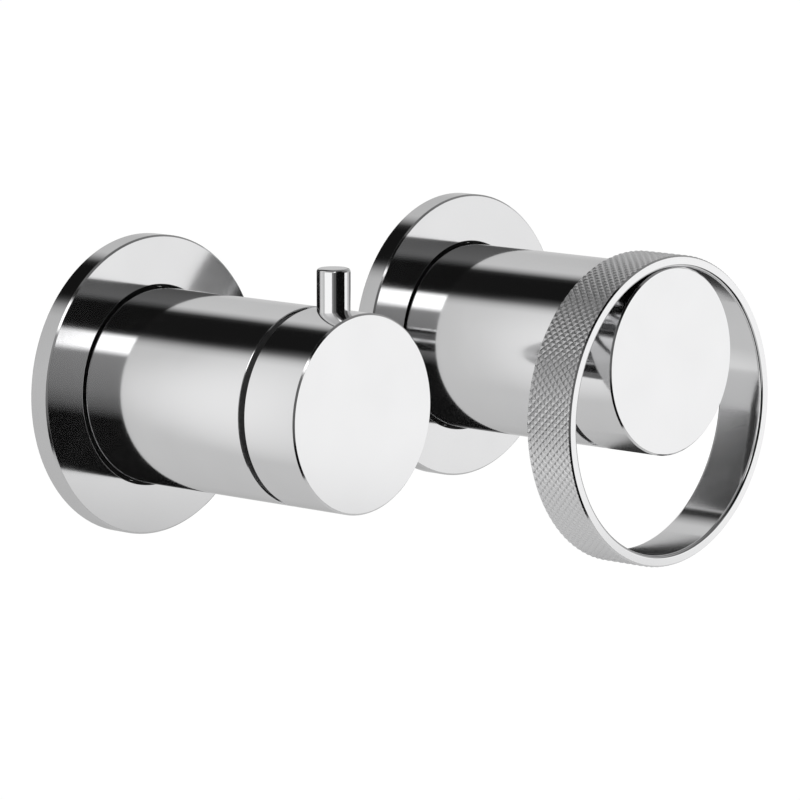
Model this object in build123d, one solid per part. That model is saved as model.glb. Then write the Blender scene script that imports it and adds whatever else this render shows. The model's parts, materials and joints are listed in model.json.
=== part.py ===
from build123d import *
import math
import os

# A wall mounted shower mixer: a set of two controls. The mixing valve has a ring as its handle,
# and the diverter beside it has a short pin on its knob. All sizes are in millimetres.
# The origin is on the mixing valve's axis, in the plane of the finished wall. +X is to the right
# as the user sees it, +Y goes into the wall and +Z is up. Both controls stand out along -Y.
# Their pieces are turned, so a half section gives a radius and a distance out of the wall.
# Angles about an axis go anticlockwise as the user sees them, from 0 at the right.

# The set
AXIS_SPACING = 110.0
BODY_D = 46.0
EDGE_BREAK = 0.4
JOINT_EDGE = 0.15

# Flange, its gasket and the rubber ring that grips the sleeve
FLANGE_D = 70.5
FLANGE_THICKNESS = 5.1
FLANGE_FACE_WALL = 1.7
FLANGE_RIM_WIDTH = 2.25
FLANGE_COLLAR_WALL = 2.2
SEAL_WIDTH = 3.0
SEAL_CLEARANCE = 0.1
GRIP_RING_SECTION = 1.7
GRIP_RING_WIDTH = 1.6
GRIP_CLEARANCE = 0.05

# Sleeve, and the plastic ring in its mouth that the knob turns on
SLEEVE_WALL = 2.0
SLEEVE_REACH = 54.3
SLEEVE_INSET = 1.0
SLEEVE_CLEARANCE = 0.9
GLIDE_WALL = 3.4
GLIDE_DEPTH = 6.8
GLIDE_NOSE = 2.6
GLIDE_LEDGE = 0.9
GLIDE_FIT = 0.1
GLIDE_CLEARANCE = 0.15

# Neck: the brass sleeve that is screwed into the wall and holds the cartridge
THREAD_D = 30.0
THREAD_LENGTH = 12.0
THREAD_RELIEF = 0.5
NECK_WALL = 2.3
NECK_REACH = 30.0
NECK_COLLAR_OVERHANG = 1.2
NECK_COLLAR_HEIGHT = 4.0
NECK_NOTCHES = 4
NECK_NOTCH_WIDTH = 5.0
NECK_NOTCH_DEPTH = 1.4
NECK_LIP = 3.0
NECK_LIP_OVERHANG = 3.2

# Carrier: the plastic ring on the neck that centres the sleeve
CARRIER_LENGTH = 14.0
CARRIER_FIT = 0.1
CARRIER_GROOVE_DEPTH = 1.1

# Cartridge
CARTRIDGE_FIT = 0.1
CARTRIDGE_WALL = 1.9
NOSE_STANDOFF = 1.0
BASE_HEIGHT = 5.0
BASE_PROUD = 0.5
BASE_SEAL_WIDTH = 1.6
BASE_SEAL_HEIGHT = 1.5
BASE_SEAL_PROUD = 0.5
BASE_SEAL_LAND = 0.6
NUB_D = 2.4
NUB_RADIUS = 7.5
NUB_LENGTH = 2.5
PORTS = 3
FIRST_PORT_ANGLE = 90.0
PORT_D = 4.0
PORT_RADIUS = 6.0
PORT_ARC = 56.0
DISC_HEIGHT = 4.0
DISC_FIT = 0.2
DISC_FILM = 0.02
CHANNEL_DEPTH = 2.2
CHANNEL_ARC = 160.0
CHANNEL_ANGLE = 270.0
LUG_WIDTH = 1.8
LUG_HEIGHT = 1.5
LUG_ARC = 28.0
LUG_CLEARANCE = 0.15
LUG_CLEARANCE_ARC = 2.0

# Stem
STEM_D = 11.0
STEM_FIT = 0.1
DRIVER_HEIGHT = 4.0
DRIVER_END_PLAY = 0.2
STEM_SHOULDER = 0.5
STEM_SEAL_SECTION = 1.3
STEM_SEAL_WIDTH = 2.0
STEM_SEAL_INSET = 5.0
SPLINE_TEETH = 16
SPLINE_TIP_D = 9.0
SPLINE_DEPTH = 0.5
SPLINE_LENGTH = 12.5
SPLINE_FIT = 0.08
SPLINE_ROOT_SHARE = 0.36
SPLINE_TIP_SHARE = 0.16

# Stops that limit each control's turn, in degrees
MIXER_TURN = 120.0
DIVERTER_TURN_EACH_WAY = 45.0
STOP_TAB_ARC = 30.0
STOP_TAB_ANGLE = 90.0
STOP_CLEARANCE_ARC = 2.0
STOP_HEIGHT = 2.0
STOP_INNER_D = 12.4
STOP_CLEARANCE = 0.3

# Extension from the stem to the knob, and its screw
EXTENSION_D = 16.0
EXTENSION_WEB = 2.8
EXTENSION_FLAT_DEPTH = 0.8
EXTENSION_END_CLEARANCE = 0.5
STEM_END_CLEARANCE = 0.3
SCREW_D = 4.0
SCREW_FIT = 0.05
SCREW_HEAD_D = 7.0
SCREW_HEAD_HEIGHT = 2.6
SCREW_HEAD_CLEARANCE = 0.7
SCREW_BITE = 7.0
SCREW_TIP_ROOM = 1.0
SCREW_KEY = 2.5
SCREW_KEY_DEPTH = 1.4

# Knob
HANDLE_GAP = 1.75
RUNNING_GAP = 0.35
KNOB_LENGTH = 15.35
KNOB_SKIRT_WALL = 2.5
KNOB_FACE_WALL = 3.0
HUB_WALL = 2.9
HUB_LENGTH = 10.4
HUB_FLOOR = 4.9
HUB_FIT = 0.1
FIXING_SETBACK = 6.2

# Pin lever of the diverter
PIN_D = 7.7
PIN_PROJECTION = 9.6
PIN_SEAT_DEPTH = 1.1
PIN_SHANK_D = 5.0
PIN_TOP_ROUND = 0.8
PIN_FIT = 0.05

# Ring handle of the mixing valve
RING_OD = 76.0
RING_WALL = 2.9
RING_WIDTH = 13.5
RING_SEAT_DEPTH = 0.2
RING_PIN_D = 3.0
RING_PIN_SPACING = 4.0
RING_PIN_BITE = 1.5
RING_PIN_FIT = 0.05

# Grub screw of the mixing valve's knob, and the plug over it
GRUB_D = 5.0
GRUB_LENGTH = 4.0
GRUB_KEY = 2.5
GRUB_KEY_DEPTH = 1.8
GRUB_CAP_D = 5.4
GRUB_CAP_RECESS = 0.05

# Radii that several pieces share
body_r = BODY_D / 2
sleeve_bore_r = body_r - SLEEVE_WALL
flange_bore_r = body_r + SLEEVE_CLEARANCE
thread_r = THREAD_D / 2
neck_tube_r = thread_r - THREAD_RELIEF
neck_bore_r = thread_r - NECK_WALL
lip_bore_r = neck_bore_r - NECK_LIP_OVERHANG
cartridge_r = neck_bore_r - CARTRIDGE_FIT
nose_r = lip_bore_r - CARTRIDGE_FIT
cavity_r = cartridge_r - CARTRIDGE_WALL
disc_r = cavity_r - DISC_FIT
stem_r = STEM_D / 2
stem_bore_r = stem_r + STEM_FIT
stop_inner_r = STOP_INNER_D / 2
extension_r = EXTENSION_D / 2
flat_height = extension_r - EXTENSION_FLAT_DEPTH
hub_bore_r = extension_r + HUB_FIT
hub_r = hub_bore_r + HUB_WALL
skirt_bore_r = body_r - KNOB_SKIRT_WALL
ring_bore_r = RING_OD / 2 - RING_WALL
ring_seat_z = body_r - RING_SEAT_DEPTH
ring_z = ring_seat_z - ring_bore_r

# Distances out of the wall that several pieces share, from the back to the front
base_back = -THREAD_LENGTH - BASE_PROUD
base_front = base_back + BASE_HEIGHT
moving_disc_back = base_front + DISC_HEIGHT + DISC_FILM
driver_back = moving_disc_back + DISC_HEIGHT
cavity_front = driver_back + DRIVER_HEIGHT + DRIVER_END_PLAY
lip_back = NECK_REACH - NECK_LIP
nose_front = NECK_REACH + NOSE_STANDOFF
stem_shoulder = nose_front + STEM_SHOULDER
stem_front = stem_shoulder + SPLINE_LENGTH
extension_back = nose_front + STOP_HEIGHT + STOP_CLEARANCE
web_back = stem_front + STEM_END_CLEARANCE
web_front = web_back + EXTENSION_WEB
knob_back = SLEEVE_REACH + HANDLE_GAP
knob_front = knob_back + KNOB_LENGTH
hub_front = knob_front - HUB_FLOOR
extension_front = hub_front - EXTENSION_END_CLEARANCE
fixing_at = knob_back + FIXING_SETBACK
ring_back = knob_front - RING_WIDTH
ring_pins_at = [
    knob_front - RING_WIDTH / 2 - RING_PIN_SPACING / 2,
    knob_front - RING_WIDTH / 2 + RING_PIN_SPACING / 2,
]

OUTWARD = Axis((0, 0, 0), (0, -1, 0))
HALF_SECTION = Plane(origin=(0, 0, 0), x_dir=(1, 0, 0), z_dir=(0, 0, -1))
OVERCUT = 1.0


def turned(*points, arc=360.0):
    """A turned piece, from its half section as (radius, distance out of the wall) points."""
    outline = Polyline(*points, close=True)
    return revolve(HALF_SECTION * make_face(outline), axis=OUTWARD, revolution_arc=arc)


def tube(inner, outer, back, front):
    return turned((inner, back), (outer, back), (outer, front), (inner, front))


def rod(radius, back, front):
    return tube(0, radius, back, front)


def sector(inner, outer, back, front, middle, arc):
    """A part of a tube that spans an arc about a middle angle."""
    piece = turned((inner, back), (outer, back), (outer, front), (inner, front), arc=arc)
    return piece.rotate(OUTWARD, middle - arc / 2)


def across(distance):
    """The plane square to the axis at a distance out of the wall, as the user sees it."""
    return Plane(origin=(0, -distance, 0), x_dir=(1, 0, 0), z_dir=(0, -1, 0))


def prism(outline, back, front):
    return extrude(across(back) * outline, front - back)


def key_socket(width):
    """The outline of a hexagon socket, by its width across flats."""
    return RegularPolygon(width / 2, 6, major_radius=False)


def post(radius, at, low, high):
    """An upright rod at a distance out of the wall, between two heights."""
    stand = Pos(0, -at, low)
    return stand * Cylinder(radius, high - low, align=(Align.CENTER, Align.CENTER, Align.MIN))


def evenly(count, start=0.0):
    """Angles of a pattern round the axis."""
    return [start + 360.0 * step / count for step in range(count)]


def splined(tip, back, front):
    """A shaft with straight teeth, by its radius over the teeth."""
    root = tip - SPLINE_DEPTH
    corners = (
        (root, -SPLINE_ROOT_SHARE),
        (tip, -SPLINE_TIP_SHARE),
        (tip, SPLINE_TIP_SHARE),
        (root, SPLINE_ROOT_SHARE),
    )
    outline = []
    for tooth in range(SPLINE_TEETH):
        for radius, share in corners:
            angle = 2 * math.pi * (tooth + share) / SPLINE_TEETH
            outline.append((radius * math.cos(angle), radius * math.sin(angle)))
    return prism(make_face(Polyline(*outline, close=True)), back, front)


# Trim that covers the wall and the neck


def flange_pocket():
    """Radii and depth of the hollow at the flange's back, which holds the gasket."""
    inner = flange_bore_r + FLANGE_COLLAR_WALL
    outer = FLANGE_D / 2 - FLANGE_RIM_WIDTH
    return inner, outer, FLANGE_THICKNESS - FLANGE_FACE_WALL


def flange_groove():
    """Back and front of the groove in the flange's collar."""
    middle = FLANGE_THICKNESS / 2
    half = GRIP_RING_WIDTH / 2 + GRIP_CLEARANCE
    return middle - half, middle + half


def flange():
    rim_r = FLANGE_D / 2
    inner, outer, depth = flange_pocket()
    groove_back, groove_front = flange_groove()
    groove_r = body_r + GRIP_RING_SECTION + GRIP_CLEARANCE
    return turned(
        (flange_bore_r, 0),
        (inner, 0),
        (inner, depth),
        (outer, depth),
        (outer, 0),
        (rim_r, 0),
        (rim_r, FLANGE_THICKNESS - EDGE_BREAK),
        (rim_r - EDGE_BREAK, FLANGE_THICKNESS),
        (flange_bore_r, FLANGE_THICKNESS),
        (flange_bore_r, groove_front),
        (groove_r, groove_front),
        (groove_r, groove_back),
        (flange_bore_r, groove_back),
    )


def flange_seal():
    """Foam gasket along the pocket's outer wall."""
    _, pocket_r, depth = flange_pocket()
    outer = pocket_r - SEAL_CLEARANCE
    return tube(outer - SEAL_WIDTH, outer, 0, depth)


def flange_grip_ring():
    back, front = flange_groove()
    inner = body_r + GRIP_CLEARANCE
    outer = body_r + GRIP_RING_SECTION
    return tube(inner, outer, back + GRIP_CLEARANCE, front - GRIP_CLEARANCE)


def sleeve():
    return turned(
        (sleeve_bore_r, SLEEVE_INSET),
        (body_r, SLEEVE_INSET),
        (body_r, SLEEVE_REACH - JOINT_EDGE),
        (body_r - JOINT_EDGE, SLEEVE_REACH),
        (sleeve_bore_r, SLEEVE_REACH),
    )


def glide_ring():
    """Pushed into the sleeve up to its ledge. Its nose carries the knob's skirt."""
    inner = sleeve_bore_r - GLIDE_WALL
    outer = sleeve_bore_r - GLIDE_FIT
    ledge_r = sleeve_bore_r + GLIDE_LEDGE
    ledge_front = knob_back - RUNNING_GAP
    nose_outer = skirt_bore_r - GLIDE_CLEARANCE
    return turned(
        (inner, SLEEVE_REACH - GLIDE_DEPTH),
        (outer, SLEEVE_REACH - GLIDE_DEPTH),
        (outer, SLEEVE_REACH),
        (ledge_r, SLEEVE_REACH),
        (ledge_r, ledge_front),
        (nose_outer, ledge_front),
        (nose_outer, ledge_front + GLIDE_NOSE),
        (inner, ledge_front + GLIDE_NOSE),
    )


# Neck and what centres the sleeve on it


def neck():
    collar_r = thread_r + NECK_COLLAR_OVERHANG
    piece = turned(
        (neck_bore_r, -THREAD_LENGTH),
        (thread_r - EDGE_BREAK, -THREAD_LENGTH),
        (thread_r, -THREAD_LENGTH + EDGE_BREAK),
        (thread_r, 0),
        (collar_r, 0),
        (collar_r, NECK_COLLAR_HEIGHT),
        (neck_tube_r, NECK_COLLAR_HEIGHT),
        (neck_tube_r, NECK_REACH),
        (lip_bore_r, NECK_REACH),
        (lip_bore_r, lip_back),
        (neck_bore_r, lip_back),
    )
    notch_floor = collar_r - NECK_NOTCH_DEPTH
    notch = Pos(notch_floor + OVERCUT + NECK_NOTCH_DEPTH / 2, -NECK_COLLAR_HEIGHT / 2, 0) * Box(
        NECK_NOTCH_DEPTH + 2 * OVERCUT, NECK_COLLAR_HEIGHT, NECK_NOTCH_WIDTH
    )
    for angle in evenly(NECK_NOTCHES):
        piece -= notch.rotate(OUTWARD, angle)
    return piece


def carrier_groove():
    """Back and front of the groove round the carrier."""
    middle = NECK_COLLAR_HEIGHT + CARRIER_LENGTH / 2
    half = GRIP_RING_WIDTH / 2 + GRIP_CLEARANCE
    return middle - half, middle + half


def carrier():
    inner = neck_tube_r + CARRIER_FIT
    outer = sleeve_bore_r - CARRIER_FIT
    back = NECK_COLLAR_HEIGHT
    front = back + CARRIER_LENGTH
    groove_back, groove_front = carrier_groove()
    floor = outer - CARRIER_GROOVE_DEPTH
    return turned(
        (inner, back),
        (outer, back),
        (outer, groove_back),
        (floor, groove_back),
        (floor, groove_front),
        (outer, groove_front),
        (outer, front),
        (inner, front),
    )


def carrier_grip_ring():
    back, front = carrier_groove()
    inner = sleeve_bore_r - CARRIER_FIT - CARRIER_GROOVE_DEPTH + GRIP_CLEARANCE
    outer = sleeve_bore_r - GRIP_CLEARANCE
    return tube(inner, outer, back + GRIP_CLEARANCE, front - GRIP_CLEARANCE)


# Cartridge


def cartridge_body(turn_back, turn_forward):
    """The housing, with the ridge that stops the extension's tab at both ends of its turn."""
    piece = turned(
        (cavity_r, base_front),
        (cartridge_r, base_front),
        (cartridge_r, lip_back),
        (nose_r, lip_back),
        (nose_r, nose_front),
        (stem_bore_r, nose_front),
        (stem_bore_r, cavity_front),
        (cavity_r, cavity_front),
    )
    free_arc = turn_back + turn_forward + STOP_TAB_ARC + 2 * STOP_CLEARANCE_ARC
    free_middle = STOP_TAB_ANGLE + (turn_forward - turn_back) / 2
    ridge = sector(
        stop_inner_r,
        nose_r,
        nose_front,
        nose_front + STOP_HEIGHT,
        free_middle + 180.0,
        360.0 - free_arc,
    )
    return piece + ridge


def base_groove():
    """Radii and depth of the groove in the base's back."""
    outer = cartridge_r - BASE_SEAL_LAND
    inner = outer - BASE_SEAL_WIDTH - 2 * GRIP_CLEARANCE
    return inner, outer, BASE_SEAL_HEIGHT - BASE_SEAL_PROUD


def cartridge_base():
    piece = rod(cartridge_r, base_back, base_front)
    inner, outer, depth = base_groove()
    piece -= tube(inner, outer, base_back - OVERCUT, base_back + depth)
    port = Pos(PORT_RADIUS, 0, 0) * rod(PORT_D / 2, base_back - OVERCUT, base_front + OVERCUT)
    nub = Pos(NUB_RADIUS, 0, 0) * rod(NUB_D / 2, base_back - NUB_LENGTH, base_back)
    for angle in evenly(PORTS, start=FIRST_PORT_ANGLE):
        piece -= port.rotate(OUTWARD, angle)
    between = 180.0 / PORTS
    for angle in (FIRST_PORT_ANGLE + between, FIRST_PORT_ANGLE - between):
        piece += nub.rotate(OUTWARD, angle)
    return piece


def base_seal():
    inner, outer, depth = base_groove()
    back = base_back - BASE_SEAL_PROUD
    return tube(inner + GRIP_CLEARANCE, outer - GRIP_CLEARANCE, back, base_back + depth)


def fixed_disc():
    piece = rod(disc_r, base_front, base_front + DISC_HEIGHT)
    inner = PORT_RADIUS - PORT_D / 2
    outer = PORT_RADIUS + PORT_D / 2
    for angle in evenly(PORTS, start=FIRST_PORT_ANGLE):
        piece -= sector(
            inner,
            outer,
            base_front - OVERCUT,
            base_front + DISC_HEIGHT + OVERCUT,
            angle,
            PORT_ARC,
        )
    return piece


def lug_spans():
    """Angles at the middle of the stem's two driving lugs."""
    return evenly(2)


def moving_disc():
    front = driver_back
    piece = rod(disc_r, moving_disc_back, front)
    channel_back = moving_disc_back - OVERCUT
    channel_front = moving_disc_back + CHANNEL_DEPTH
    inner = PORT_RADIUS - PORT_D / 2
    outer = PORT_RADIUS + PORT_D / 2
    piece -= sector(inner, outer, channel_back, channel_front, CHANNEL_ANGLE, CHANNEL_ARC)
    notch_inner = disc_r - LUG_WIDTH - LUG_CLEARANCE
    notch_arc = LUG_ARC + 2 * LUG_CLEARANCE_ARC
    for angle in lug_spans():
        notch_back = front - LUG_HEIGHT - LUG_CLEARANCE
        piece -= sector(
            notch_inner, disc_r + OVERCUT, notch_back, front + OVERCUT, angle, notch_arc
        )
    return piece


# Drive from the cartridge to the knob


def stem_groove():
    """Back and front of the groove for the stem's seal."""
    front = NECK_REACH - STEM_SEAL_INSET
    return front - STEM_SEAL_WIDTH, front


def stem():
    groove_back, groove_front = stem_groove()
    groove_r = stem_r - STEM_SEAL_SECTION
    driver_front = driver_back + DRIVER_HEIGHT
    piece = turned(
        (0, driver_back),
        (disc_r, driver_back),
        (disc_r, driver_front),
        (stem_r, driver_front),
        (stem_r, groove_back),
        (groove_r, groove_back),
        (groove_r, groove_front),
        (stem_r, groove_front),
        (stem_r, stem_shoulder),
        (0, stem_shoulder),
    )
    for angle in lug_spans():
        piece += sector(
            disc_r - LUG_WIDTH, disc_r, driver_back - LUG_HEIGHT, driver_back, angle, LUG_ARC
        )
    piece += splined(SPLINE_TIP_D / 2, stem_shoulder, stem_front)
    tapped_r = SCREW_D / 2 + SCREW_FIT
    return piece - rod(tapped_r, web_back - SCREW_BITE - SCREW_TIP_ROOM, stem_front + OVERCUT)


def stem_seal():
    back, front = stem_groove()
    inner = stem_r - STEM_SEAL_SECTION + GRIP_CLEARANCE
    outer = stem_bore_r - GRIP_CLEARANCE
    return tube(inner, outer, back + GRIP_CLEARANCE, front - GRIP_CLEARANCE)


def extension(flat_side):
    """The drive to the knob. Its flat is on top for a flat_side of 1 and below for -1."""
    piece = rod(extension_r, extension_back, extension_front)
    tab_back = nose_front + STOP_CLEARANCE
    piece += sector(
        stop_inner_r, extension_r, tab_back, extension_back, STOP_TAB_ANGLE, STOP_TAB_ARC
    )
    piece -= splined(SPLINE_TIP_D / 2 + SPLINE_FIT, extension_back - OVERCUT, web_back)
    piece -= rod(SCREW_D / 2 + SCREW_FIT, web_back - OVERCUT, web_front + OVERCUT)
    head_r = (SCREW_HEAD_D + SCREW_HEAD_CLEARANCE) / 2
    piece -= rod(head_r, web_front, extension_front + OVERCUT)
    flat_length = extension_front - web_front
    cutter = Box(EXTENSION_D, flat_length, extension_r)
    cutter_z = flat_side * (flat_height + extension_r / 2)
    return piece - Pos(0, -(web_front + flat_length / 2), cutter_z) * cutter


def extension_screw():
    piece = rod(SCREW_HEAD_D / 2, web_front, web_front + SCREW_HEAD_HEIGHT)
    piece += rod(SCREW_D / 2, web_back - SCREW_BITE, web_front)
    head_front = web_front + SCREW_HEAD_HEIGHT
    return piece - prism(key_socket(SCREW_KEY), head_front - SCREW_KEY_DEPTH, head_front)


# Knobs and handles


def knob_blank():
    """A turned cup with a blind hub inside for the extension."""
    face_back = knob_front - KNOB_FACE_WALL
    hub_back = face_back - HUB_LENGTH
    return turned(
        (0, knob_front),
        (body_r - EDGE_BREAK, knob_front),
        (body_r, knob_front - EDGE_BREAK),
        (body_r, knob_back + JOINT_EDGE),
        (body_r - JOINT_EDGE, knob_back),
        (skirt_bore_r, knob_back),
        (skirt_bore_r, face_back),
        (hub_r, face_back),
        (hub_r, hub_back),
        (hub_bore_r, hub_back),
        (hub_bore_r, hub_front),
        (0, hub_front),
    )


def pin_seat_z():
    """Height of the seat that the pin lever's shoulder rests on."""
    return body_r - PIN_SEAT_DEPTH


def diverter_knob():
    shank = post(PIN_SHANK_D / 2 + PIN_FIT, fixing_at, 0, body_r)
    seat = post(PIN_D / 2 + PIN_FIT, fixing_at, pin_seat_z(), body_r + OVERCUT)
    return knob_blank() - shank - seat


def diverter_pin_lever():
    """A rod with a threaded shank, which is tightened on the extension's flat."""
    top = body_r + PIN_PROJECTION
    head = post(PIN_D / 2, fixing_at, pin_seat_z(), top)
    head = fillet(head.edges().sort_by(Axis.Z)[-1], PIN_TOP_ROUND)
    return head + post(PIN_SHANK_D / 2, fixing_at, flat_height, pin_seat_z())


def mixer_knob():
    """The cup with a saddle for the ring, the holes for its pins and those for the grub screw."""
    saddle = Pos(0, 0, ring_z) * tube(ring_bore_r, RING_OD / 2, ring_back, knob_front + OVERCUT)
    piece = knob_blank() - saddle
    for at in ring_pins_at:
        piece -= post(RING_PIN_D / 2 + RING_PIN_FIT, at, skirt_bore_r - OVERCUT, body_r)
    piece -= post(GRUB_D / 2 + PIN_FIT, fixing_at, -hub_r - OVERCUT, 0)
    return piece - post(GRUB_CAP_D / 2 + PIN_FIT, fixing_at, -body_r, -skirt_bore_r + OVERCUT)


def mixer_ring():
    outer = RING_OD / 2
    piece = turned(
        (ring_bore_r + EDGE_BREAK, ring_back),
        (outer - EDGE_BREAK, ring_back),
        (outer, ring_back + EDGE_BREAK),
        (outer, knob_front - EDGE_BREAK),
        (outer - EDGE_BREAK, knob_front),
        (ring_bore_r + EDGE_BREAK, knob_front),
        (ring_bore_r, knob_front - EDGE_BREAK),
        (ring_bore_r, ring_back + EDGE_BREAK),
    )
    piece = Pos(0, 0, ring_z) * piece
    for at in ring_pins_at:
        hole_top = ring_seat_z + RING_PIN_BITE + RING_PIN_FIT
        piece -= post(RING_PIN_D / 2 + RING_PIN_FIT, at, ring_seat_z - OVERCUT, hole_top)
    return piece


def mixer_ring_pins():
    low = skirt_bore_r + RING_PIN_FIT
    high = ring_seat_z + RING_PIN_BITE
    return Compound(children=[post(RING_PIN_D / 2, at, low, high) for at in ring_pins_at])


def mixer_grub_screw():
    low = -flat_height - GRUB_LENGTH
    piece = post(GRUB_D / 2, fixing_at, low, -flat_height)
    socket = extrude(key_socket(GRUB_KEY), GRUB_KEY_DEPTH)
    return piece - Pos(0, -fixing_at, low) * socket


def mixer_grub_cap():
    """A plug in the knob's skirt, rounded to the knob's surface."""
    plug = post(GRUB_CAP_D / 2, fixing_at, -body_r, -skirt_bore_r)
    return plug & rod(body_r - GRUB_CAP_RECESS, knob_back, knob_front)


def control(turn_back, turn_forward, flat_side):
    """The pieces that both controls have."""
    return {
        "flange": flange(),
        "flange_seal": flange_seal(),
        "flange_grip_ring": flange_grip_ring(),
        "sleeve": sleeve(),
        "glide_ring": glide_ring(),
        "neck": neck(),
        "carrier": carrier(),
        "carrier_grip_ring": carrier_grip_ring(),
        "cartridge_body": cartridge_body(turn_back, turn_forward),
        "cartridge_base": cartridge_base(),
        "base_seal": base_seal(),
        "fixed_disc": fixed_disc(),
        "moving_disc": moving_disc(),
        "stem": stem(),
        "stem_seal": stem_seal(),
        "extension": extension(flat_side),
        "extension_screw": extension_screw(),
    }


mixer = control(turn_back=0.0, turn_forward=MIXER_TURN, flat_side=-1)
mixer["knob"] = mixer_knob()
mixer["ring"] = mixer_ring()
mixer["ring_pins"] = mixer_ring_pins()
mixer["grub_screw"] = mixer_grub_screw()
mixer["grub_cap"] = mixer_grub_cap()

diverter = control(DIVERTER_TURN_EACH_WAY, DIVERTER_TURN_EACH_WAY, flat_side=1)
diverter["knob"] = diverter_knob()
diverter["pin_lever"] = diverter_pin_lever()

os.makedirs("parts", exist_ok=True)
for prefix, place, pieces in (
    ("mixer", Pos(0, 0, 0), mixer),
    ("diverter", Pos(-AXIS_SPACING, 0, 0), diverter),
):
    for name, piece in pieces.items():
        export_step(place * piece, f"parts/{prefix}_{name}.step")
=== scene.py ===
import json
import math

import bpy
import numpy as np
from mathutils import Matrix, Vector


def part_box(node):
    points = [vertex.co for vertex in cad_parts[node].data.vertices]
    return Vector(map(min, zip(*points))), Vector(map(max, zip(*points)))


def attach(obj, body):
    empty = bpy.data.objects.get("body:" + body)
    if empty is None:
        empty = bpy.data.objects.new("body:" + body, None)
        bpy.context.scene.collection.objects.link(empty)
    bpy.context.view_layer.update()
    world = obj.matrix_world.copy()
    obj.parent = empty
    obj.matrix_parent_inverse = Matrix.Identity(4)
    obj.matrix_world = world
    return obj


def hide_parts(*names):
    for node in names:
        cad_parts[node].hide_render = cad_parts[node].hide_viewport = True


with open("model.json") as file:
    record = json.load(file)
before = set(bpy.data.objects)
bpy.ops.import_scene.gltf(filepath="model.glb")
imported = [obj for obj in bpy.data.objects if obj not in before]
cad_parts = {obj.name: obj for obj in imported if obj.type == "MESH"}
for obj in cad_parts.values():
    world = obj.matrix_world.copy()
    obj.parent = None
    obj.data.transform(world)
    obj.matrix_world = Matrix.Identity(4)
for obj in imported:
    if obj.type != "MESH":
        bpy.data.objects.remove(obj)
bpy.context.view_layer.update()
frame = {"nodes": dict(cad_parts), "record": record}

# A wall mounted shower mixer: two controls in polished chrome. All sizes are in metres.
# Turned pieces are described by half sections: a radius and a distance out of the wall.

MM = 0.001

# Sizes that the frame gives
mixer_low, mixer_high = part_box("mixer_sleeve")
diverter_low, diverter_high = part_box("diverter_sleeve")
flange_low, flange_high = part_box("mixer_flange")
knob_low, knob_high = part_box("mixer_knob")
ring_low, ring_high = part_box("mixer_ring")
pin_low, pin_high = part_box("diverter_pin_lever")
neck_low, neck_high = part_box("mixer_neck")

AXIS_X = {
    "mixer": (mixer_low.x + mixer_high.x) / 2,
    "diverter": (diverter_low.x + diverter_high.x) / 2,
}
BODY_R = (mixer_high.x - mixer_low.x) / 2
SLEEVE_BACK, SLEEVE_FRONT = -mixer_high.y, -mixer_low.y
FLANGE_R = (flange_high.x - flange_low.x) / 2
FLANGE_FRONT = -flange_low.y
KNOB_BACK, KNOB_FRONT = -knob_high.y, -knob_low.y
RING_R = (ring_high.x - ring_low.x) / 2
RING_Z = (ring_high.z + ring_low.z) / 2
RING_BACK, RING_FRONT = -ring_high.y, -ring_low.y
PIN_R = (pin_high.x - pin_low.x) / 2
PIN_Y = (pin_high.y + pin_low.y) / 2
THREAD_BACK, NECK_FRONT = -neck_high.y, -neck_low.y
COLLAR_R = (neck_high.x - neck_low.x) / 2

# Sizes inside the turned pieces
EDGE = 0.4 * MM
JOINT_EDGE = 0.15 * MM
FINE_EDGE = 0.12 * MM
CRISP = 0.05 * MM
SLEEVE_WALL = 2.0 * MM
FLANGE_BORE_R = BODY_R + 0.65 * MM
FLANGE_COLLAR_R = BODY_R + 3.1 * MM
FLANGE_POCKET_R = FLANGE_R - 2.25 * MM
FLANGE_POCKET_DEPTH = FLANGE_FRONT - 1.7 * MM
FLANGE_GROOVE_R = BODY_R + 1.75 * MM
FLANGE_GROOVE_HALF = 0.85 * MM
SKIRT_BORE_R = BODY_R - 2.5 * MM
KNOB_FACE_WALL = 3.0 * MM
HUB_BORE_R = 8.1 * MM
HUB_R = 11.0 * MM
HUB_LENGTH = 10.4 * MM
HUB_FLOOR = 4.9 * MM
PIN_SHANK_R = 2.5 * MM
PIN_SEAT_Z = BODY_R - 1.1 * MM
PIN_TOP_ROUND = 0.8 * MM
RING_WALL = 2.9 * MM
RING_BORE_ROUND = 0.8 * MM
RING_BORE_R = RING_R - RING_WALL
THREAD_R = 15.0 * MM
THREAD_PITCH = 1.5 * MM
THREAD_DEPTH = 0.85 * MM
THREAD_SLOPE = 1.15
THREAD_CREST = 0.1
THREAD_ROWS_A_TURN = 12
NECK_BORE_R = 12.7 * MM
NECK_TUBE_R = 14.5 * MM
NECK_COLLAR_HEIGHT = 4.0 * MM
NECK_LIP_BORE_R = 9.5 * MM
NECK_LIP = 3.0 * MM
NOTCHES = 4
NOTCH_HALF_WIDTH = 2.5 * MM
NOTCH_DEPTH = 1.4 * MM

# Knurl on the ring: crossed grooves at 45 degrees, on a grid with a few steps to each diamond
DIAMONDS_ROUND = 118
STEPS_A_DIAMOND = 8
KNURL_ROWS = 50
KNURL_STEP = 2 * math.pi * RING_R / (DIAMONDS_ROUND * STEPS_A_DIAMOND)
KNURL_EDGE = (RING_FRONT - RING_BACK - KNURL_ROWS * KNURL_STEP) / 2
KNURL_DEPTH = 0.17 * MM
KNURL_CREST = 0.8

# How finely round forms are divided
ROUND_STEPS = 256
THREAD_STEPS = 144
ARC_STEPS = 6
WALL_STEPS = 180
LID_STEPS = 90
CARD_STEPS = 48
SHARP_ANGLE = 18.0


# Meshes of turned pieces


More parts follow.
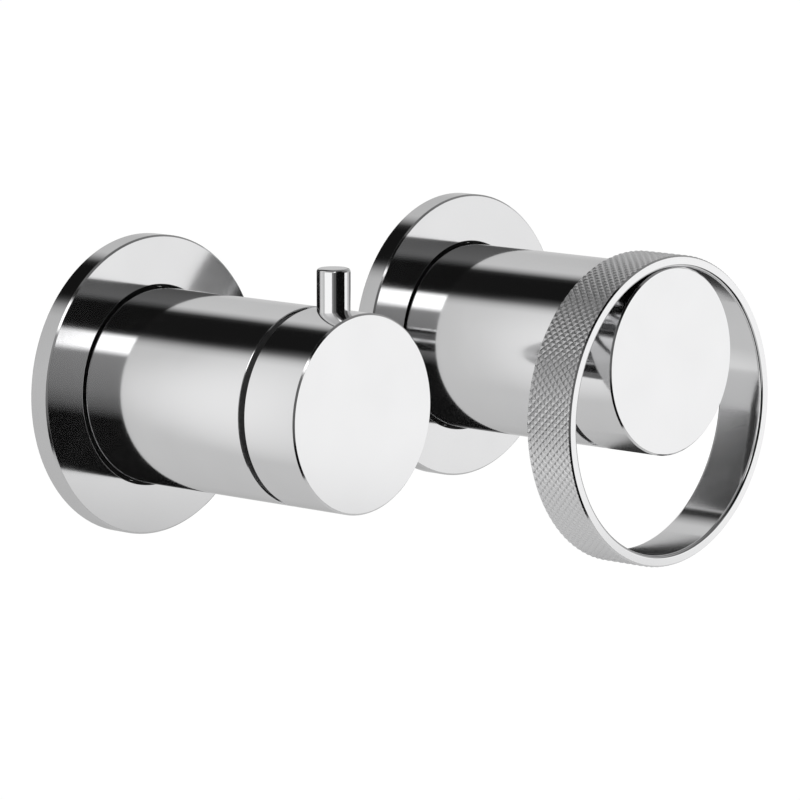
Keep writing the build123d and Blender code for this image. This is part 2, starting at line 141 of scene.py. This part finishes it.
def rounded(corners, closed=True):
    """A half section with round corners, as points and the normals before and after each point.

    corners are (radius, distance, fillet), anticlockwise. A corner without a fillet stays sharp.
    """
    count = len(corners)
    points, before, after = [], [], []
    for at, (r, s, fillet) in enumerate(corners):
        here = np.array((r, s))
        into = here - np.array(corners[at - 1][:2])
        out = np.array(corners[(at + 1) % count][:2]) - here
        if not closed and at == 0:
            into = out
        if not closed and at == count - 1:
            out = into
        into = into / np.linalg.norm(into)
        out = out / np.linalg.norm(out)
        side = np.array((into[1], -into[0]))
        turn = math.atan2(into[0] * out[1] - into[1] * out[0], into @ out)
        if not fillet or abs(turn) < 1e-6:
            points.append(here)
            before.append(side)
            after.append(np.array((out[1], -out[0])))
            continue
        sign = math.copysign(1.0, turn)
        start = here - into * fillet * math.tan(abs(turn) / 2)
        centre = start - sign * fillet * side
        for step in range(ARC_STEPS + 1):
            angle = turn * step / ARC_STEPS
            cos, sin = math.cos(angle), math.sin(angle)
            normal = np.array((side[0] * cos - side[1] * sin, side[0] * sin + side[1] * cos))
            points.append(centre + sign * fillet * normal)
            before.append(normal)
            after.append(normal)
    return np.array(points), np.array(before), np.array(after)


def bevelled(r, s, size):
    """The two corners of an outer front edge that is broken at 45 degrees."""
    return [(r, s - size, CRISP), (r - size, s, CRISP)]


def out_of_wall(x, z=0.0):
    """Places (radius, distance, angle) round an axis that stands out of the wall."""
    def place(r, s, angle):
        return np.stack((x + r * np.cos(angle), -s + 0 * angle, z + r * np.sin(angle)), axis=-1)

    def turn(r, s, angle):
        return np.stack((r * np.cos(angle), -s + 0 * angle, r * np.sin(angle)), axis=-1)

    return place, turn


def upright(x, y):
    """Places (radius, height, angle) round an upright axis."""
    def place(r, s, angle):
        return np.stack((x + r * np.cos(angle), y - r * np.sin(angle), s + 0 * angle), axis=-1)

    def turn(r, s, angle):
        return np.stack((r * np.cos(angle), -r * np.sin(angle), s + 0 * angle), axis=-1)

    return place, turn


def cells(row, ahead, columns, pole, split):
    """The faces between two rows, as (row, column) corners.

    pole is the row that is a single point, if any. split is the number of a row in the knurl, where
    each cell is cut in two along the diagonal that its groove follows, or None for a plain row.
    """
    for column in range(columns):
        beside = (column + 1) % columns
        a, b, c, d = (row, column), (row, beside), (ahead, beside), (ahead, column)
        if pole == row:
            yield (row, 0), c, d
        elif pole == ahead:
            yield a, b, (ahead, 0)
        elif split is None:
            yield a, b, c, d
        elif (column - split) % STEPS_A_DIAMOND == 0:
            yield a, b, c
            yield a, c, d
        else:
            yield a, b, d
            yield b, c, d


def turned(name, corners, axis, closed=True, angles=None, shape=None, facets=None, creased=False):
    """A turned piece with the exact normals of its section.

    shape changes the radii once they are known. facets are the first and last rows of a knurl, which
    is left with flat facets. A creased piece takes its normals from its faces.
    """
    place, turn = axis
    if angles is None:
        angles = np.arange(ROUND_STEPS) * 2 * math.pi / ROUND_STEPS
    columns = len(angles)
    points, before, after = rounded(corners, closed)
    rows = len(points)
    radii = np.repeat(points[:, :1], columns, axis=1)
    reach = np.repeat(points[:, 1:], columns, axis=1)
    if shape is not None:
        radii = shape(radii, reach, angles)
    grid = place(radii, reach, angles)
    ending = turn(before[:, :1], before[:, 1:], angles)
    starting = turn(after[:, :1], after[:, 1:], angles)

    faces, normals = [], []
    for row in range(rows if closed else rows - 1):
        ahead = (row + 1) % rows
        pole = None
        if not closed and row == 0:
            pole = row
        if not closed and ahead == rows - 1:
            pole = ahead
        knurled = facets is not None and facets[0] <= row < facets[1]
        for face in cells(row, ahead, columns, pole, row - facets[0] if knurled else None):
            faces.append(face)
            if knurled:
                first, second, third = (grid[corner] for corner in face)
                flat = np.cross(second - first, third - second)
                flat = flat / np.linalg.norm(flat)
                normals.append([flat if flat @ starting[face[0]] > 0 else -flat] * 3)
            else:
                normals.append([starting[corner] if corner[0] == row else ending[corner] for corner in face])

    first, second, third = (grid[corner] for corner in faces[len(faces) // 2][:3])
    if np.cross(second - first, third - second) @ normals[len(faces) // 2][0] < 0:
        faces = [face[::-1] for face in faces]
        normals = [around[::-1] for around in normals]
    used = {corner: index for index, corner in enumerate(sorted({c for face in faces for c in face}))}

    mesh = bpy.data.meshes.new(name)
    mesh.from_pydata([grid[corner] for corner in used], [], [[used[c] for c in face] for face in faces])
    mesh.update()
    mesh.shade_smooth()
    if facets is not None:
        mesh.polygons.foreach_set("material_index", [int(len(face) == 3) for face in faces])
    if creased:
        mesh.set_sharp_from_angle(angle=math.radians(SHARP_ANGLE))
    else:
        mesh.normals_split_custom_set([normal for face in normals for normal in face])
    piece = bpy.data.objects.new(name, mesh)
    bpy.context.scene.collection.objects.link(piece)
    return piece


# Sections of the pieces


def flange_section():
    middle = FLANGE_FRONT / 2
    return [
        (FLANGE_BORE_R, 0, FINE_EDGE),
        (FLANGE_COLLAR_R, 0, FINE_EDGE),
        (FLANGE_COLLAR_R, FLANGE_POCKET_DEPTH, FINE_EDGE),
        (FLANGE_POCKET_R, FLANGE_POCKET_DEPTH, FINE_EDGE),
        (FLANGE_POCKET_R, 0, FINE_EDGE),
        (FLANGE_R, 0, FINE_EDGE),
        *bevelled(FLANGE_R, FLANGE_FRONT, EDGE),
        (FLANGE_BORE_R, FLANGE_FRONT, FINE_EDGE),
        (FLANGE_BORE_R, middle + FLANGE_GROOVE_HALF, FINE_EDGE),
        (FLANGE_GROOVE_R, middle + FLANGE_GROOVE_HALF, FINE_EDGE),
        (FLANGE_GROOVE_R, middle - FLANGE_GROOVE_HALF, FINE_EDGE),
        (FLANGE_BORE_R, middle - FLANGE_GROOVE_HALF, FINE_EDGE),
    ]


def sleeve_section():
    return [
        (BODY_R - SLEEVE_WALL, SLEEVE_BACK, FINE_EDGE),
        (BODY_R, SLEEVE_BACK, FINE_EDGE),
        *bevelled(BODY_R, SLEEVE_FRONT, JOINT_EDGE),
        (BODY_R - SLEEVE_WALL, SLEEVE_FRONT, FINE_EDGE),
    ]


def knob_section():
    face_back = KNOB_FRONT - KNOB_FACE_WALL
    hub_back = face_back - HUB_LENGTH
    hub_front = KNOB_FRONT - HUB_FLOOR
    return [
        (0, hub_front, 0),
        (HUB_BORE_R, hub_front, FINE_EDGE),
        (HUB_BORE_R, hub_back, FINE_EDGE),
        (HUB_R, hub_back, FINE_EDGE),
        (HUB_R, face_back, FINE_EDGE),
        (SKIRT_BORE_R, face_back, FINE_EDGE),
        (SKIRT_BORE_R, KNOB_BACK, FINE_EDGE),
        (BODY_R - JOINT_EDGE, KNOB_BACK, CRISP),
        (BODY_R, KNOB_BACK + JOINT_EDGE, CRISP),
        (BODY_R, RING_BACK - CRISP, 0),
        (BODY_R, RING_BACK, 0),
        *bevelled(BODY_R, KNOB_FRONT, EDGE),
        (0, KNOB_FRONT, 0),
    ]


def cut_saddle(radii, reach, angles):
    """The seat of the ring in the top of the knob."""
    rise = RING_Z * np.sin(angles)
    seat = rise + np.sqrt(rise**2 + RING_BORE_R**2 - RING_Z**2)
    return np.where(reach >= RING_BACK - CRISP / 2, np.minimum(radii, seat), radii)


def pin_section():
    return [
        (0, pin_low.z, 0),
        (PIN_SHANK_R, pin_low.z, FINE_EDGE),
        (PIN_SHANK_R, PIN_SEAT_Z, FINE_EDGE),
        (PIN_R, PIN_SEAT_Z, FINE_EDGE),
        (PIN_R, pin_high.z, PIN_TOP_ROUND),
        (0, pin_high.z, 0),
    ]


def ring_section():
    """The ring's section: its bore, a bevel on each side and the rows of the knurl."""
    back = RING_BACK + KNURL_EDGE
    knurl = [(RING_R, back + row * KNURL_STEP, 0) for row in range(KNURL_ROWS + 1)]
    return [
        (RING_BORE_R, RING_BACK, RING_BORE_ROUND),
        (RING_R - KNURL_EDGE, RING_BACK, CRISP),
        *knurl,
        (RING_R - KNURL_EDGE, RING_FRONT, CRISP),
        (RING_BORE_R, RING_FRONT, RING_BORE_ROUND),
    ]


def neck_section():
    rows = int(-THREAD_BACK / THREAD_PITCH * THREAD_ROWS_A_TURN)
    thread = [(THREAD_R, THREAD_BACK * (1 - row / rows), 0) for row in range(1, rows)]
    return [
        (NECK_BORE_R, THREAD_BACK, FINE_EDGE),
        (THREAD_R, THREAD_BACK, EDGE),
        *thread,
        (THREAD_R, 0, FINE_EDGE),
        (COLLAR_R, 0, FINE_EDGE),
        (COLLAR_R, NECK_COLLAR_HEIGHT, FINE_EDGE),
        (NECK_TUBE_R, NECK_COLLAR_HEIGHT, FINE_EDGE),
        (NECK_TUBE_R, NECK_FRONT, EDGE),
        (NECK_LIP_BORE_R, NECK_FRONT, FINE_EDGE),
        (NECK_LIP_BORE_R, NECK_FRONT - NECK_LIP, FINE_EDGE),
        (NECK_BORE_R, NECK_FRONT - NECK_LIP, FINE_EDGE),
    ]


def triangle_wave(x):
    """0 at whole numbers and 1 half way between them."""
    return 1 - np.abs(2 * (x - np.floor(x)) - 1)


def cut_thread(radii, reach, angles):
    """A screw thread on the neck's back, and the notches in its collar."""
    on_thread = (radii > THREAD_R - EDGE) & (reach < -FINE_EDGE) & (radii < COLLAR_R - FINE_EDGE)
    phase = reach / THREAD_PITCH - angles / (2 * math.pi)
    run_out = np.clip(np.minimum(reach - THREAD_BACK, -reach) / THREAD_PITCH, 0, 1)
    depth = THREAD_DEPTH * np.clip(triangle_wave(phase) * THREAD_SLOPE - THREAD_CREST, 0, 1)
    radii = np.where(on_thread, radii - depth * run_out, radii)
    on_collar = (radii > COLLAR_R - FINE_EDGE * 2) & (reach > -FINE_EDGE / 2)
    quarter = 2 * math.pi / NOTCHES
    aside = COLLAR_R * np.sin((angles + quarter / 2) % quarter - quarter / 2)
    in_notch = on_collar & (np.abs(aside) < NOTCH_HALF_WIDTH)
    return np.where(in_notch, radii - NOTCH_DEPTH, radii)


def cut_knurl(radii, reach, angles):
    """Crossed grooves that leave blunt diamonds on the ring's outside."""
    on_knurl = radii > RING_R - CRISP / 2
    round_at = angles * DIAMONDS_ROUND / (2 * math.pi)
    across_at = (reach - RING_BACK - KNURL_EDGE) / (KNURL_STEP * STEPS_A_DIAMOND)
    rise = np.minimum(triangle_wave(round_at + across_at), triangle_wave(round_at - across_at))
    rise = np.minimum(rise, KNURL_CREST) / KNURL_CREST
    return np.where(on_knurl, RING_R - KNURL_DEPTH * (1 - rise), radii)


# Materials

NOISE_LOW, NOISE_HIGH = 0.3, 0.7


def shader(name):
    """A new node material and its main shader."""
    material = bpy.data.materials.new(name)
    material.use_nodes = True
    return material, material.node_tree.nodes["Principled BSDF"]


def calculate(tree, operation, first, second):
    """The result of a calculation with two values. Each is a socket or a number."""
    node = tree.nodes.new("ShaderNodeMath")
    node.operation = operation
    for socket, value in zip(node.inputs, (first, second)):
        if isinstance(value, (int, float)):
            socket.default_value = value
        else:
            tree.links.new(value, socket)
    return node.outputs["Value"]


def noise(material, scale, detail=4.0, stretch=(1, 1, 1)):
    """Noise in the piece's own coordinates, with an optional stretch."""
    nodes, links = material.node_tree.nodes, material.node_tree.links
    place = nodes.new("ShaderNodeTexCoord")
    mapping = nodes.new("ShaderNodeMapping")
    mapping.inputs["Scale"].default_value = stretch
    texture = nodes.new("ShaderNodeTexNoise")
    texture.inputs["Scale"].default_value = scale
    texture.inputs["Detail"].default_value = detail
    links.new(place.outputs["Object"], mapping.inputs["Vector"])
    links.new(mapping.outputs["Vector"], texture.inputs["Vector"])
    return texture.outputs["Fac"]


def ramp(material, value, stops):
    """A colour ramp over a value, from (position, colour) stops."""
    node = material.node_tree.nodes.new("ShaderNodeValToRGB")
    elements = node.color_ramp.elements
    while len(elements) < len(stops):
        elements.new(0.5)
    for element, (position, colour) in zip(elements, stops):
        element.position = position
        element.color = (*colour, 1)
    material.node_tree.links.new(value, node.inputs["Fac"])
    return node.outputs["Color"]


def spread(material, value, low, high):
    """A noise value spread over another range."""
    node = material.node_tree.nodes.new("ShaderNodeMapRange")
    node.inputs["From Min"].default_value = NOISE_LOW
    node.inputs["From Max"].default_value = NOISE_HIGH
    node.inputs["To Min"].default_value = low
    node.inputs["To Max"].default_value = high
    material.node_tree.links.new(value, node.inputs["Value"])
    return node.outputs["Result"]


def bump(material, main, value, height):
    """Fine relief from a value."""
    node = material.node_tree.nodes.new("ShaderNodeBump")
    node.inputs["Strength"].default_value = 1.0
    node.inputs["Distance"].default_value = height
    material.node_tree.links.new(value, node.inputs["Height"])
    material.node_tree.links.new(node.outputs["Normal"], main.inputs["Normal"])


def grey(level, tint=0.0):
    return (level, level, level * (1 + tint))


def finish_material(name, low, high, scale, rough, metallic=0.0, relief=0.0, detail=4.0, stretch=(1, 1, 1)):
    """A material whose colour and roughness vary a little, with optional fine relief."""
    material, main = shader(name)
    tone = noise(material, scale, detail, stretch)
    links = material.node_tree.links
    links.new(ramp(material, tone, ((NOISE_LOW, low), (NOISE_HIGH, high))), main.inputs["Base Color"])
    links.new(spread(material, tone, *rough), main.inputs["Roughness"])
    main.inputs["Metallic"].default_value = metallic
    if relief:
        bump(material, main, tone, relief)
    return material


def make_materials():
    """The finish of every material slot."""
    return {
        "chrome": finish_material(
            "polished_chrome", grey(0.90, 0.006), grey(0.93, 0.006), 70, (0.075, 0.095), metallic=1.0
        ),
        "flange_chrome": finish_material(
            "flange_chrome", grey(0.79, 0.006), grey(0.82, 0.006), 70, (0.075, 0.095), metallic=1.0
        ),
        "knurl_chrome": finish_material(
            "knurl_chrome", grey(0.91, 0.006), grey(0.94, 0.006), 70, (0.34, 0.40), metallic=1.0
        ),
        "brass": finish_material(
            "turned_brass", (0.70, 0.47, 0.20), (0.83, 0.60, 0.29), 350, (0.22, 0.38),
            metallic=1.0, relief=4e-6, stretch=(1, 9, 1),
        ),
        "steel": finish_material(
            "plain_steel", grey(0.46), grey(0.60), 500, (0.25, 0.42), metallic=1.0, relief=3e-6
        ),
        "rubber": finish_material(
            "black_rubber", grey(0.012), grey(0.028), 900, (0.55, 0.75), relief=1e-5
        ),
        "foam": finish_material(
            "cell_foam", grey(0.05), grey(0.15), 1600, (0.85, 1.0), relief=6e-5, detail=2.0
        ),
        "black_plastic": finish_material(
            "black_plastic", grey(0.010), grey(0.020), 1200, (0.35, 0.5), relief=4e-6
        ),
        "grey_plastic": finish_material(
            "moulded_plastic", grey(0.55, 0.02), grey(0.63, 0.02), 260, (0.38, 0.52), relief=5e-6
        ),
        "ceramic": finish_material(
            "lapped_ceramic", (0.80, 0.78, 0.73), (0.88, 0.87, 0.83), 600, (0.12, 0.22)
        ),
    }


# Pieces of the object


def dress(piece, body, slot, *nodes, finish=None):
    """Puts a piece on its body, in place of CAD nodes, with the finish of a slot or one of its own."""
    piece.data.materials.append(MATERIALS[finish or slot])
    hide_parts(*nodes)
    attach(piece, body)


def build_control(name, handle, knob_shape=None):
    """The turned pieces that both controls show."""
    axis = out_of_wall(AXIS_X[name])
    flange = turned(f"{name}_flange_turned", flange_section(), axis)
    dress(flange, "wall_set", "chrome", f"{name}_flange", finish="flange_chrome")
    dress(turned(f"{name}_sleeve_turned", sleeve_section(), axis), "wall_set", "chrome", f"{name}_sleeve")
    angles = np.arange(THREAD_STEPS) * 2 * math.pi / THREAD_STEPS
    neck = turned(
        f"{name}_neck_threaded", neck_section(), axis, angles=angles, shape=cut_thread, creased=True
    )
    dress(neck, "wall_set", "brass", f"{name}_neck")
    knob = turned(f"{name}_knob_turned", knob_section(), axis, closed=False, shape=knob_shape)
    dress(knob, handle, "chrome", f"{name}_knob")


def build_ring():
    columns = DIAMONDS_ROUND * STEPS_A_DIAMOND
    angles = np.arange(columns) * 2 * math.pi / columns
    first = 2 * (ARC_STEPS + 1)
    axis = out_of_wall(AXIS_X["mixer"], RING_Z)
    ring = turned(
        "mixer_ring_knurled", ring_section(), axis, angles=angles, shape=cut_knurl,
        facets=(first, first + KNURL_ROWS),
    )
    dress(ring, "mixer_handle", "chrome", "mixer_ring")
    ring.data.materials.append(MATERIALS["knurl_chrome"])


def build_pin():
    axis = upright(AXIS_X["diverter"], PIN_Y)
    pin = turned("diverter_pin_turned", pin_section(), axis, closed=False)
    dress(pin, "diverter_handle", "chrome", "diverter_pin_lever")


# Camera and studio

CAMERA_AZIMUTH = -47.8441
CAMERA_ELEVATION = 8.9153
CAMERA_DISTANCE = 1.2249178
CAMERA_TARGET = Vector((-0.0630347, -0.040, -0.0054151))
CAMERA_LENS = 232.948
CAMERA_SENSOR = 36.0
FLOOR_Z = -0.95
FLOOR_REACH = 40.0
FLOOR_GREY = 0.95
FLOOR_ROUGHNESS = 0.9
FLOOR_GLOW = 1.08
FLOOR_GLOW_SHARE = 0.8
WORLD_LIGHT = 0.75
KEY_LAMP_PLACE = Vector((-0.9, -1.2, 1.1))
KEY_LAMP_SIZE = 1.2
KEY_LAMP_POWER = 6.0
WALL_RADIUS = 0.75
STUDIO_X = (AXIS_X["mixer"] + AXIS_X["diverter"]) / 2

# Light of the studio's round walls, by degrees about their axis from +X over +Z. The front wall has
# the white highlight of the sleeves, and the end wall lights the knobs' faces in views from the front.
BACK_WALL = (
    (0, 0.62), (12, 0.58), (26, 0.53), (63, 0.57), (68, 0.42), (76, 0.03), (81, 0.008), (112, 0.008),
    (116, 0.05), (124, 0.42), (130, 0.54), (220, 0.56), (250, 0.55), (300, 0.51), (324, 0.45),
    (338, 0.56), (350, 0.62),
)
MIDDLE_WALL = (
    (0, 0.50), (20, 0.35), (45, 0.25), (70, 0.16), (120, 0.16), (150, 0.50), (165, 1.0), (200, 1.0),
    (215, 0.55), (330, 0.55), (345, 0.50),
)
FRONT_WALL = (
    (0, 0.80), (5, 0.20), (9, 0.10), (20, 0.10), (60, 0.14), (74, 0.006), (112, 0.006), (117, 0.05),
    (122, 1.7), (138, 1.7), (144, 0.28), (184, 0.20), (200, 0.12), (213, 0.004), (326, 0.004),
    (338, 0.30), (345, 0.95), (357, 0.95),
)
FAR_WALL = (
    (0, 0.80), (5, 0.20), (9, 0.10), (20, 0.10), (60, 0.14), (74, 0.006), (112, 0.006), (144, 0.12),
    (184, 0.12), (200, 0.08), (213, 0.004), (326, 0.004), (338, 0.30), (345, 0.95), (357, 0.95),
)
END_WALL = (
    (0, 0.80), (5, 0.30), (20, 0.15), (60, 0.14), (74, 0.006), (112, 0.006), (144, 0.12), (184, 0.12),
    (213, 0.004), (240, 0.004), (262, 0.30), (326, 0.50), (338, 0.65), (345, 0.95), (357, 0.95),
)
BACK_WALL_Y = (0.18, 1.25)
MIDDLE_WALL_Y = (-0.50, 0.18)
FRONT_WALL_Y = (-0.735, -0.50)
FAR_WALL_Y = (-0.98, -0.735)
END_WALL_Y = (-1.25, -0.98)

# Light of the studio's two ends, and of a card on the lower part of its front end
BACK_LID = 0.04
FRONT_LID = 0.004
FRONT_CARD = 0.45
FRONT_CARD_TOP = -0.28
FRONT_CARD_GAP = 0.01

# A glow on the back wall, as (angle, half angle, y, half width, level)
BACK_GLOW = (172, 65, 0.582, 0.072, 0.33)

# A dark card on the back wall, which the ring's inside shows
BACK_CARD = 0.03
BACK_CARD_RADIUS = 0.745
BACK_CARD_ANGLES = (282, 412)
BACK_CARD_Y = (0.42, 0.506)


def make_camera():
    camera = bpy.data.objects.new("camera", bpy.data.cameras.new("camera"))
    bpy.context.scene.collection.objects.link(camera)
    azimuth, elevation = math.radians(CAMERA_AZIMUTH), math.radians(CAMERA_ELEVATION)
    away = Vector((
        math.sin(azimuth) * math.cos(elevation),
        -math.cos(azimuth) * math.cos(elevation),
        math.sin(elevation),
    ))
    camera.location = CAMERA_TARGET + away * CAMERA_DISTANCE
    camera.rotation_euler = (-away).to_track_quat("-Z", "Y").to_euler()
    camera.data.lens = CAMERA_LENS
    camera.data.sensor_width = CAMERA_SENSOR
    camera.data.clip_end = 100.0
    bpy.context.scene.camera = camera


def seen_directly(tree):
    """1 for rays that should see a white background: camera, glossy and transmission rays."""
    path = tree.nodes.new("ShaderNodeLightPath")
    total = path.outputs["Is Camera Ray"]
    for kind in ("Is Glossy Ray", "Is Transmission Ray"):
        total = calculate(tree, "MAXIMUM", total, path.outputs[kind])
    return total


def make_world():
    world = bpy.data.worlds.new("studio")
    bpy.context.scene.world = world
    world.use_nodes = True
    tree = world.node_tree
    soft = tree.nodes["Background"]
    soft.inputs["Color"].default_value = (1, 1, 1, 1)
    soft.inputs["Strength"].default_value = WORLD_LIGHT
    white = tree.nodes.new("ShaderNodeBackground")
    white.inputs["Color"].default_value = (1, 1, 1, 1)
    white.inputs["Strength"].default_value = 1.0
    mix = tree.nodes.new("ShaderNodeMixShader")
    tree.links.new(seen_directly(tree), mix.inputs["Fac"])
    tree.links.new(soft.outputs["Background"], mix.inputs[1])
    tree.links.new(white.outputs["Background"], mix.inputs[2])
    tree.links.new(mix.outputs["Shader"], tree.nodes["World Output"].inputs["Surface"])


def make_floor():
    mesh = bpy.data.meshes.new("floor")
    reach = FLOOR_REACH
    sides = ((-reach, -reach), (reach, -reach), (reach, reach), (-reach, reach))
    mesh.from_pydata([(x, y, FLOOR_Z) for x, y in sides], [], [(0, 1, 2, 3)])
    floor = bpy.data.objects.new("floor", mesh)
    bpy.context.scene.collection.objects.link(floor)
    material, main = shader("pale_floor")
    tree = material.node_tree
    main.inputs["Base Color"].default_value = (*grey(FLOOR_GREY), 1)
    main.inputs["Roughness"].default_value = FLOOR_ROUGHNESS
    light = tree.nodes.new("ShaderNodeEmission")
    light.inputs["Strength"].default_value = FLOOR_GLOW
    mix = tree.nodes.new("ShaderNodeMixShader")
    tree.links.new(calculate(tree, "MULTIPLY", seen_directly(tree), FLOOR_GLOW_SHARE), mix.inputs["Fac"])
    tree.links.new(main.outputs["BSDF"], mix.inputs[1])
    tree.links.new(light.outputs["Emission"], mix.inputs[2])
    tree.links.new(mix.outputs["Shader"], tree.nodes["Material Output"].inputs["Surface"])
    mesh.materials.append(material)


def only_reflected(obj):
    """Marks a studio wall or card, which is seen in reflections alone."""
    obj.visible_camera = False
    obj.visible_diffuse = False
    obj.visible_transmission = False
    obj.visible_volume_scatter = False
    obj.visible_shadow = False


def card(name, vertices, faces, level):
    """A plain studio card of one light level, seen in reflections alone."""
    mesh = bpy.data.meshes.new(name)
    mesh.from_pydata(vertices, [], faces)
    piece = bpy.data.objects.new(name, mesh)
    bpy.context.scene.collection.objects.link(piece)
    material, main = shader(name)
    tree = material.node_tree
    light = tree.nodes.new("ShaderNodeEmission")
    light.inputs["Color"].default_value = (*grey(level), 1)
    tree.links.new(light.outputs["Emission"], tree.nodes["Material Output"].inputs["Surface"])
    tree.nodes.remove(main)
    mesh.materials.append(material)
    only_reflected(piece)


def lid(name, y, level, top=WALL_RADIUS):
    """The end of a round studio wall, or the part of it below a height."""
    angles = [2 * math.pi * step / LID_STEPS for step in range(LID_STEPS)]
    vertices = [
        (STUDIO_X + WALL_RADIUS * math.cos(angle), y, min(WALL_RADIUS * math.sin(angle), top))
        for angle in angles
    ]
    card(name, vertices, [tuple(range(LID_STEPS))], level)


def arc_card(name, level, radius, ends, span):
    """A card that is bent round the studio's axis, between two angles."""
    first, last = ends
    angles = [math.radians(first + (last - first) * k / CARD_STEPS) for k in range(CARD_STEPS + 1)]
    vertices = [
        (STUDIO_X + radius * math.cos(angle), y, radius * math.sin(angle)) for y in span for angle in angles
    ]
    faces = [(k, k + 1, CARD_STEPS + k + 2, CARD_STEPS + k + 1) for k in range(CARD_STEPS)]
    card(name, vertices, faces, level)


def round_wall(name, stops, span, glow=None):
    """A studio wall round the object, whose light changes with the angle, and an optional glow on it."""
    steps = WALL_STEPS
    angles = [2 * math.pi * step / steps for step in range(steps)]
    vertices = [
        (WALL_RADIUS * math.cos(angle), y, WALL_RADIUS * math.sin(angle)) for y in span for angle in angles
    ]
    faces = [(k, (k + 1) % steps, steps + (k + 1) % steps, steps + k) for k in range(steps)]
    mesh = bpy.data.meshes.new(name)
    mesh.from_pydata(vertices, [], faces)
    wall = bpy.data.objects.new(name, mesh)
    wall.location.x = STUDIO_X
    bpy.context.scene.collection.objects.link(wall)
    material, main = shader(name)
    tree = material.node_tree
    place = tree.nodes.new("ShaderNodeTexCoord")
    parts = tree.nodes.new("ShaderNodeSeparateXYZ")
    tree.links.new(place.outputs["Object"], parts.inputs["Vector"])
    minus_x = calculate(tree, "MULTIPLY", parts.outputs["X"], -1.0)
    minus_z = calculate(tree, "MULTIPLY", parts.outputs["Z"], -1.0)
    half_turns = calculate(tree, "DIVIDE", calculate(tree, "ARCTAN2", minus_z, minus_x), math.pi)
    degrees = calculate(tree, "ADD", calculate(tree, "MULTIPLY", half_turns, 180.0), 180.0)
    share = calculate(tree, "DIVIDE", degrees, 360.0)
    colour = ramp(material, share, [(angle / 360.0, grey(level)) for angle, level in stops])
    light = tree.nodes.new("ShaderNodeEmission")
    tree.links.new(colour, light.inputs["Color"])
    total = light.outputs["Emission"]
    if glow:
        angle, half_angle, y, half_width, level = glow
        round_off = calculate(tree, "DIVIDE", calculate(tree, "SUBTRACT", degrees, angle), half_angle)
        along_off = calculate(tree, "DIVIDE", calculate(tree, "SUBTRACT", parts.outputs["Y"], y), half_width)
        off = calculate(
            tree, "ADD", calculate(tree, "POWER", round_off, 2.0), calculate(tree, "POWER", along_off, 2.0)
        )
        inside = calculate(tree, "MAXIMUM", calculate(tree, "SUBTRACT", 1.0, off), 0.0)
        patch = tree.nodes.new("ShaderNodeEmission")
        tree.links.new(calculate(tree, "MULTIPLY", inside, level), patch.inputs["Strength"])
        both = tree.nodes.new("ShaderNodeAddShader")
        tree.links.new(total, both.inputs[0])
        tree.links.new(patch.outputs["Emission"], both.inputs[1])
        total = both.outputs["Shader"]
    tree.links.new(total, tree.nodes["Material Output"].inputs["Surface"])
    tree.nodes.remove(main)
    mesh.materials.append(material)
    only_reflected(wall)


def make_lamp(name, place, size, power):
    """A soft lamp that lights the object and isn't mirrored in it."""
    lamp = bpy.data.objects.new(name, bpy.data.lights.new(name, "AREA"))
    lamp.data.size = size
    lamp.data.energy = power
    lamp.location = place
    lamp.rotation_euler = (CAMERA_TARGET - lamp.location).to_track_quat("-Z", "Y").to_euler()
    lamp.visible_glossy = False
    lamp.visible_camera = False
    bpy.context.scene.collection.objects.link(lamp)


MATERIALS = make_materials()
for row in frame["record"]["subparts"]:
    for slot in frame["nodes"][row["node"]].material_slots:
        slot.material = MATERIALS[row["material_slot"]]

build_control("mixer", "mixer_handle", cut_saddle)
build_control("diverter", "diverter_handle")
build_ring()
build_pin()

make_camera()
make_world()
make_floor()
round_wall("back_wall", BACK_WALL, BACK_WALL_Y, BACK_GLOW)
round_wall("middle_wall", MIDDLE_WALL, MIDDLE_WALL_Y)
round_wall("front_wall", FRONT_WALL, FRONT_WALL_Y)
round_wall("far_wall", FAR_WALL, FAR_WALL_Y)
round_wall("end_wall", END_WALL, END_WALL_Y)
lid("back_lid", BACK_WALL_Y[1], BACK_LID)
lid("front_lid", END_WALL_Y[0], FRONT_LID)
lid("front_card", END_WALL_Y[0] + FRONT_CARD_GAP, FRONT_CARD, FRONT_CARD_TOP)
arc_card("back_card", BACK_CARD, BACK_CARD_RADIUS, BACK_CARD_ANGLES, BACK_CARD_Y)
make_lamp("key_lamp", KEY_LAMP_PLACE, KEY_LAMP_SIZE, KEY_LAMP_POWER)

bpy.context.scene.view_settings.view_transform = "Standard"
